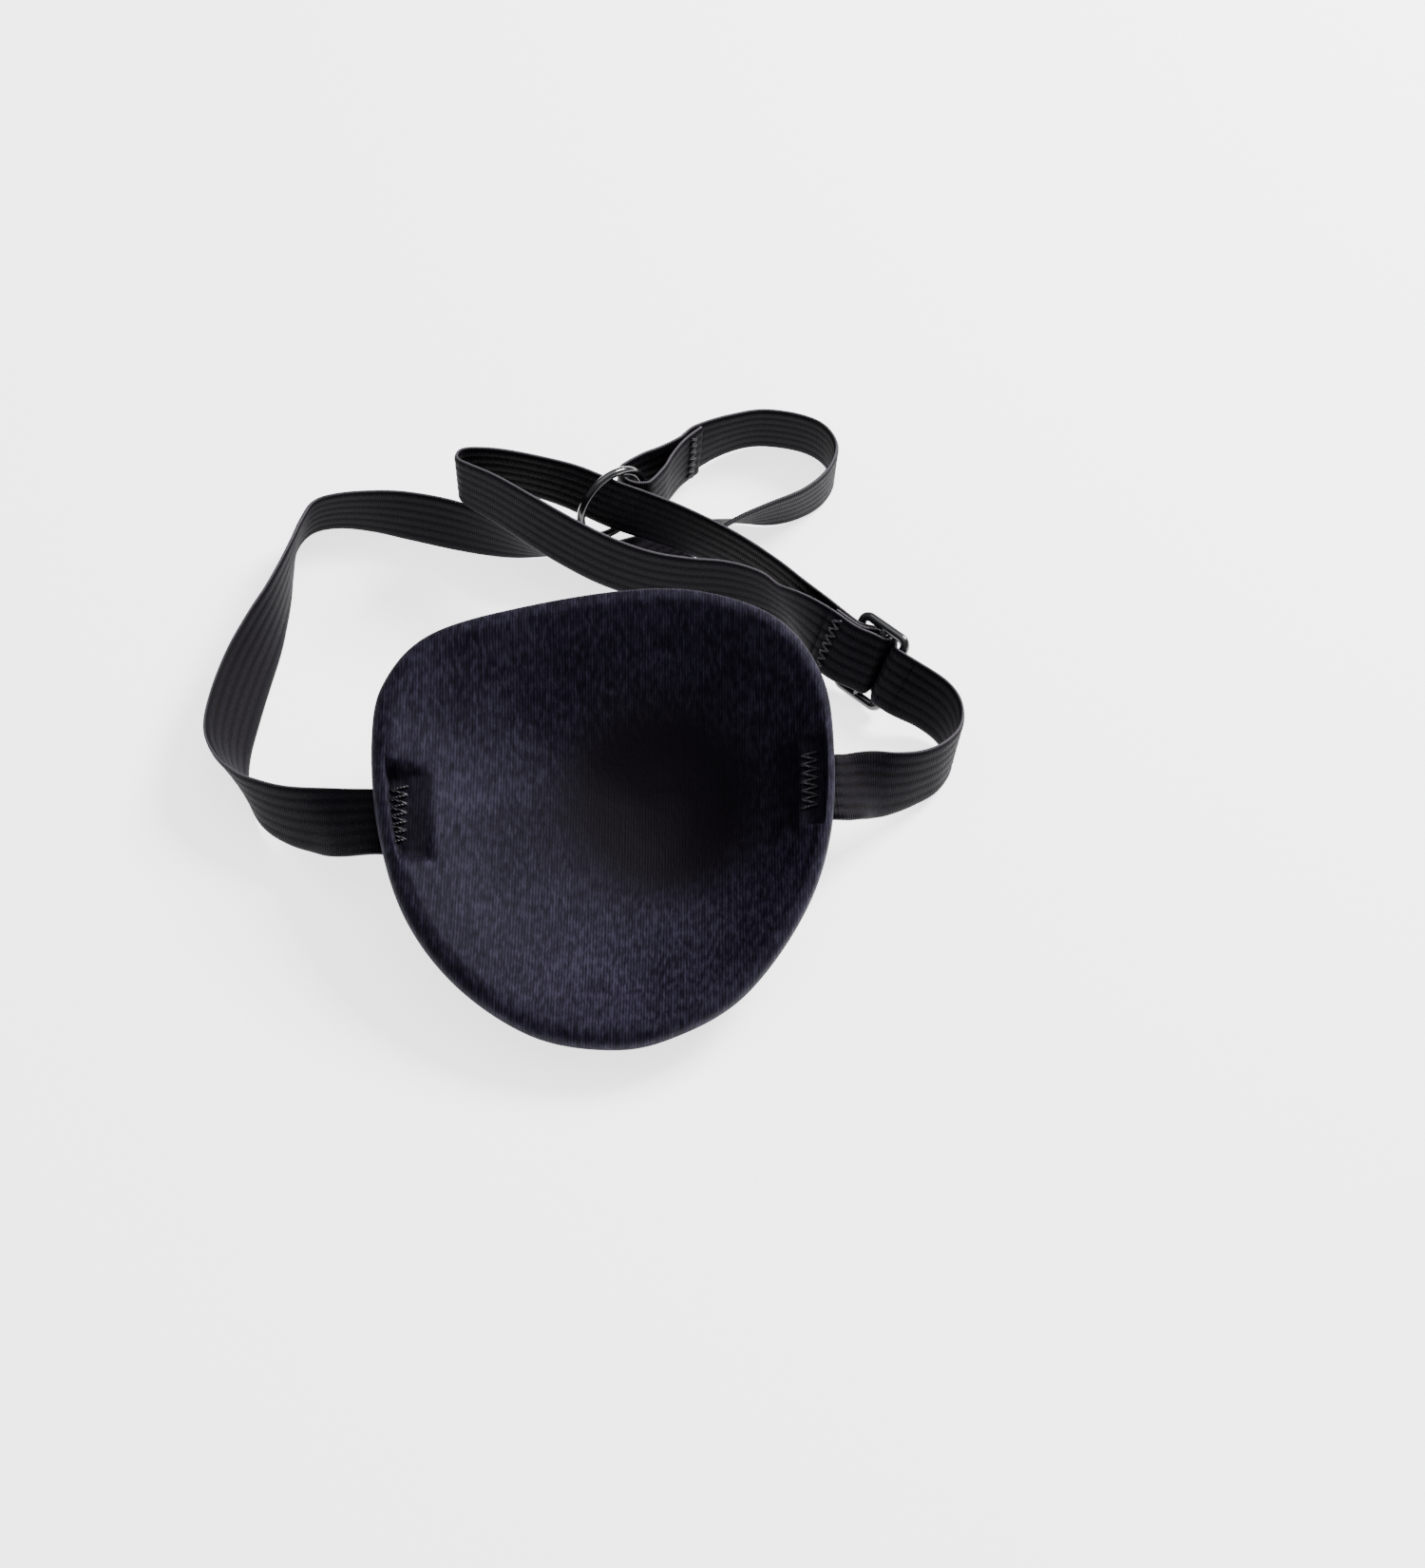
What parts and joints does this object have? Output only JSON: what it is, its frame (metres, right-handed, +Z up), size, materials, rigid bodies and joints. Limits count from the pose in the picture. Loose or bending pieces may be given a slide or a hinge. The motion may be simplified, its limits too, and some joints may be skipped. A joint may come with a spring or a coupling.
{
  "type": "eye patch",
  "caption": "Moulded fabric-covered foam eye patch with a domed hollow for the eye, on a flat elastic head strap with a sewn-in ring and a strap-length slider.",
  "frame": {"origin": "on the table, under the middle of the object's bounding box", "axes": "+Z up from the table; the pad lies dome down at -Y with its hollow facing up and 17 degrees towards -Y; the strap's sewn ends point to -X and +X; the gathered straps lie at +Y"},
  "size_m": [0.1368, 0.1442, 0.0321],
  "materials": {
    "pad_fabric": "fine knit with a soft sheen",
    "pad_foam": "closed-cell foam, hidden inside",
    "elastic_webbing": "woven elastic with fine ribs along it",
    "black_plastic": "glossy",
    "sewing_thread": "twisted thread"
  },
  "bodies": {
    "root": {"pad_inner_lining": "pad_fabric", "pad_foam_core": "pad_foam", "pad_outer_cover": "pad_fabric", "left_strap": "elastic_webbing", "right_strap": "elastic_webbing", "left_pad_stitching": "sewing_thread", "right_pad_stitching": "sewing_thread", "ring_loop_stitching": "sewing_thread", "slider_loop_stitching": "sewing_thread"},
    "ring": {"strap_ring": "black_plastic"},
    "slider": {"slider": "black_plastic"}
  },
  "joints": [
    {"name": "ring_swivel", "type": "hinge", "parent": "root", "child": "ring", "pos_m": [0.00959, 0.0499, 0.0108], "axis": [0.0857, 0.1097, 0.9903], "range_deg": [-3, 15]},
    {"name": "slider_slide", "type": "slide", "parent": "root", "child": "slider", "axis": [-0.7254, 0.6884, 0], "range_m": [-0.004, 0.015], "deforming": ["right_strap"]}
  ]
}
